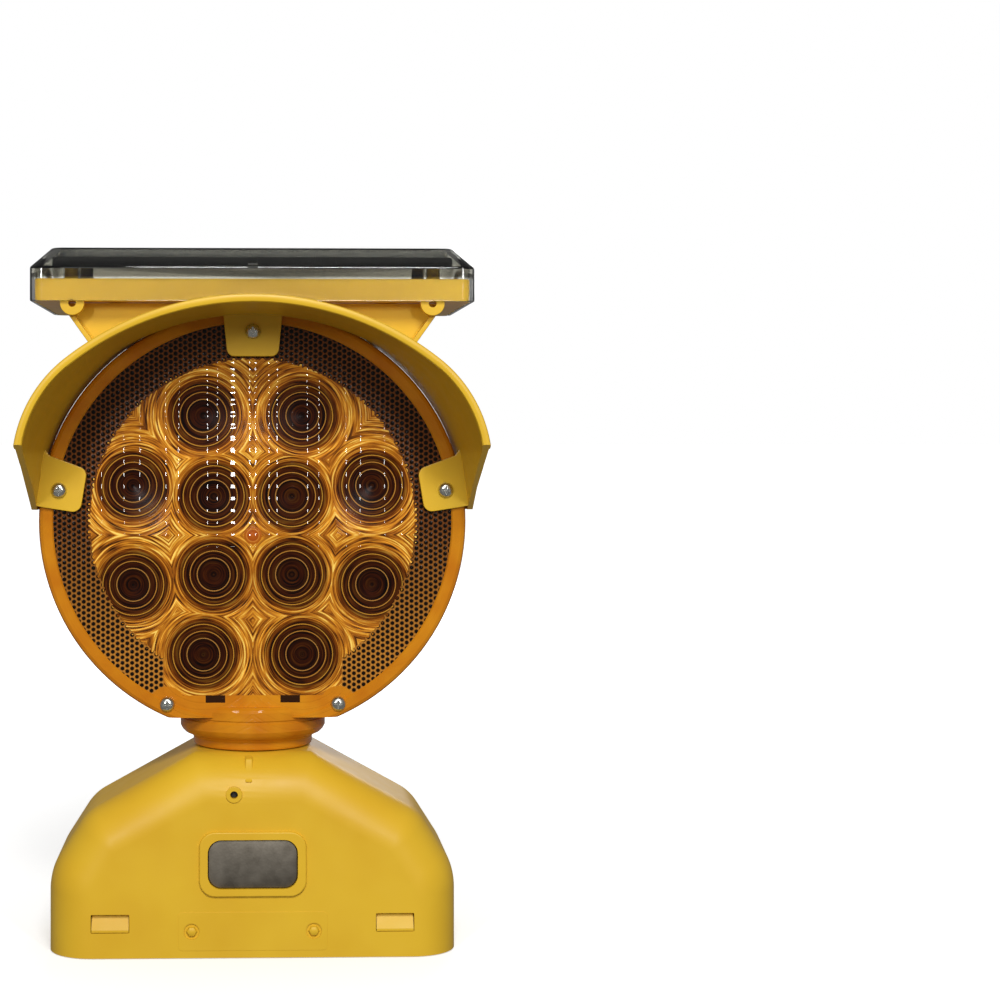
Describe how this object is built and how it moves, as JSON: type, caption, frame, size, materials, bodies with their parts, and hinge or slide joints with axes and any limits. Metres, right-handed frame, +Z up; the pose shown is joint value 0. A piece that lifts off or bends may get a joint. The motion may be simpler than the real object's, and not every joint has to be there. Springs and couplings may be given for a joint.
{
  "type": "barricade warning light",
  "caption": "Round amber LED warning light with a visor and solar panel, on a swivelling collar above a battery case that bolts to a barricade.",
  "frame": {"origin": "on the floor under the case, on the axis that the head swivels on", "axes": "+Z up along the swivel axis, -Y the way the lens faces, +X to the right seen from the front"},
  "size_m": [0.2004, 0.1485, 0.3134],
  "materials": {
    "case_plastic": "satin moulded",
    "visor_plastic": "satin moulded",
    "amber_lens": "clear gloss",
    "clear_cover": "clear gloss",
    "solar_cells": "gloss",
    "galvanised_steel": "mottled matt",
    "zinc_screw": "bright plated",
    "spring_steel": "plated",
    "circuit_board": "matt",
    "led_epoxy": "clear gloss",
    "black_plastic": "matt",
    "black_rubber": "matt",
    "cell_sleeve": "satin"
  },
  "bodies": {
    "case": {"case_shell": "case_plastic", "anchor_plate": "galvanised_steel", "back_plate": "galvanised_steel", "neck_seal": "black_rubber", "switch_body": "black_plastic", "control_board": "circuit_board", "flasher_module": "black_plastic", "board_screw_left": "zinc_screw", "board_screw_right": "zinc_screw"},
    "switch_plunger": {"switch_plunger": "black_plastic"},
    "tray": {"battery_tray": "case_plastic", "tray_hook_front_left": "case_plastic", "tray_hook_front_right": "case_plastic", "tray_hook_back_left": "case_plastic", "tray_hook_back_right": "case_plastic", "battery_cell_1": "cell_sleeve", "battery_cell_2": "cell_sleeve", "battery_cell_3": "cell_sleeve", "battery_cell_4": "cell_sleeve", "contact_plate_left": "spring_steel", "contact_plate_right": "spring_steel", "contact_spring_front": "spring_steel", "contact_spring_back": "spring_steel"},
    "head": {"front_lens": "amber_lens", "back_lens": "amber_lens", "lens_gasket": "black_rubber", "led_board": "circuit_board", "photocell": "black_plastic", "visor_bracket": "visor_plastic", "solar_tray": "visor_plastic", "solar_panel": "solar_cells", "solar_cover": "clear_cover", "solar_tray_screw_left": "zinc_screw", "solar_tray_screw_right": "zinc_screw", "lamp_lead": "black_rubber", "lead_plug": "black_plastic", "solar_lead": "black_rubber", "lead_grommet": "black_rubber", "led_01": "led_epoxy", "led_02": "led_epoxy", "led_03": "led_epoxy", "led_04": "led_epoxy", "led_05": "led_epoxy", "led_06": "led_epoxy", "led_07": "led_epoxy", "led_08": "led_epoxy", "led_09": "led_epoxy", "led_10": "led_epoxy", "led_11": "led_epoxy", "led_12": "led_epoxy", "lens_screw_top": "zinc_screw", "lens_screw_left": "zinc_screw", "lens_screw_right": "zinc_screw", "lens_screw_lower_left": "zinc_screw", "lens_screw_lower_right": "zinc_screw", "led_board_screw_1": "zinc_screw", "led_board_screw_2": "zinc_screw", "led_board_screw_3": "zinc_screw"}
  },
  "joints": [
    {"name": "lens_swivel", "type": "hinge", "parent": "case", "child": "head", "pos_m": [0, 0, 0.0976], "axis": [0, 0, 1], "range_deg": [-90, 90]},
    {"name": "tray_slide", "type": "slide", "parent": "case", "child": "tray", "axis": [0, 0, -1], "range_m": [0, 0.09], "deforming": ["tray_hook_front_left", "tray_hook_front_right", "tray_hook_back_left", "tray_hook_back_right"]},
    {"name": "switch_press", "type": "slide", "parent": "case", "child": "switch_plunger", "axis": [0, 1, 0], "range_m": [0, 0.0018], "stiffness_N_per_m": 400}
  ]
}
